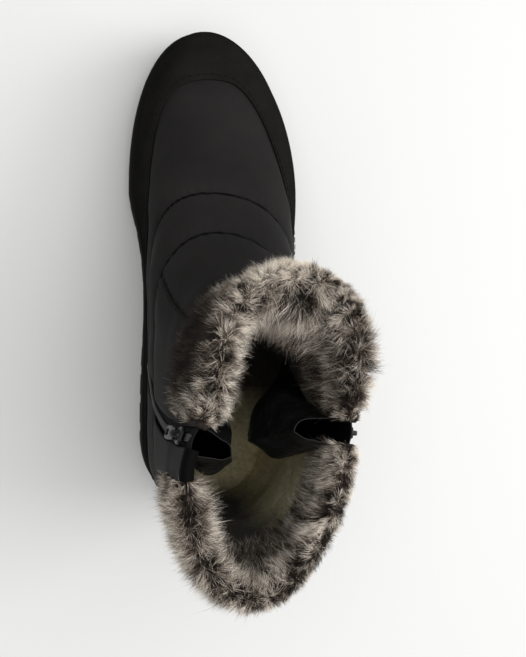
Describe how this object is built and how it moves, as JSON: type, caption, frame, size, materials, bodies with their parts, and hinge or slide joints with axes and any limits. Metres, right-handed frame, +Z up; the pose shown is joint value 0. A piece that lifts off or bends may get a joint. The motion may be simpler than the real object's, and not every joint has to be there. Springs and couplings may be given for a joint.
{
  "type": "winter boot",
  "caption": "Ankle-high winter boot with a lugged rubber sole, quilted nylon upper, matte mudguard, deep fur cuff and a zip with folded gusset on each side.",
  "frame": {"origin": "on the floor under the middle of the heel", "axes": "+Y to the toe, +X to the lateral side (the wearer's right), +Z up"},
  "size_m": [0.1057, 0.2971, 0.206],
  "materials": {
    "nylon": "satin quilted nylon",
    "suede": "matte nubuck-like",
    "rubber": "matte moulded rubber",
    "fleece": "cream fleece",
    "fur": "frosted long-pile fur",
    "lining": "smooth nylon",
    "zip": "black moulded teeth on woven tape",
    "slider": "black lacquered metal"
  },
  "bodies": {
    "boot": {"upper": "nylon", "mudguard": "suede", "outsole": "rubber", "insole": "fleece", "cuff_front": "fur", "cuff_back": "fur", "gusset_lateral": "lining", "gusset_medial": "lining", "zip_lateral": "zip", "zip_medial": "zip", "slider_lateral": "slider", "slider_medial": "slider"},
    "pull_lateral": {"pull_tab_lateral": "slider"},
    "pull_medial": {"pull_tab_medial": "slider"}
  },
  "joints": [
    {"name": "pull_tab_lateral_swing", "type": "hinge", "parent": "boot", "child": "pull_lateral", "pos_m": [0.04232, 0.02148, 0.17757], "axis": [-0.0773, -0.9936, 0.0829], "range_deg": [0, 150]},
    {"name": "pull_tab_medial_swing", "type": "hinge", "parent": "boot", "child": "pull_medial", "pos_m": [-0.03821, 0.0235, 0.17711], "axis": [0.3318, 0.9389, -0.0914], "range_deg": [0, 150]}
  ]
}
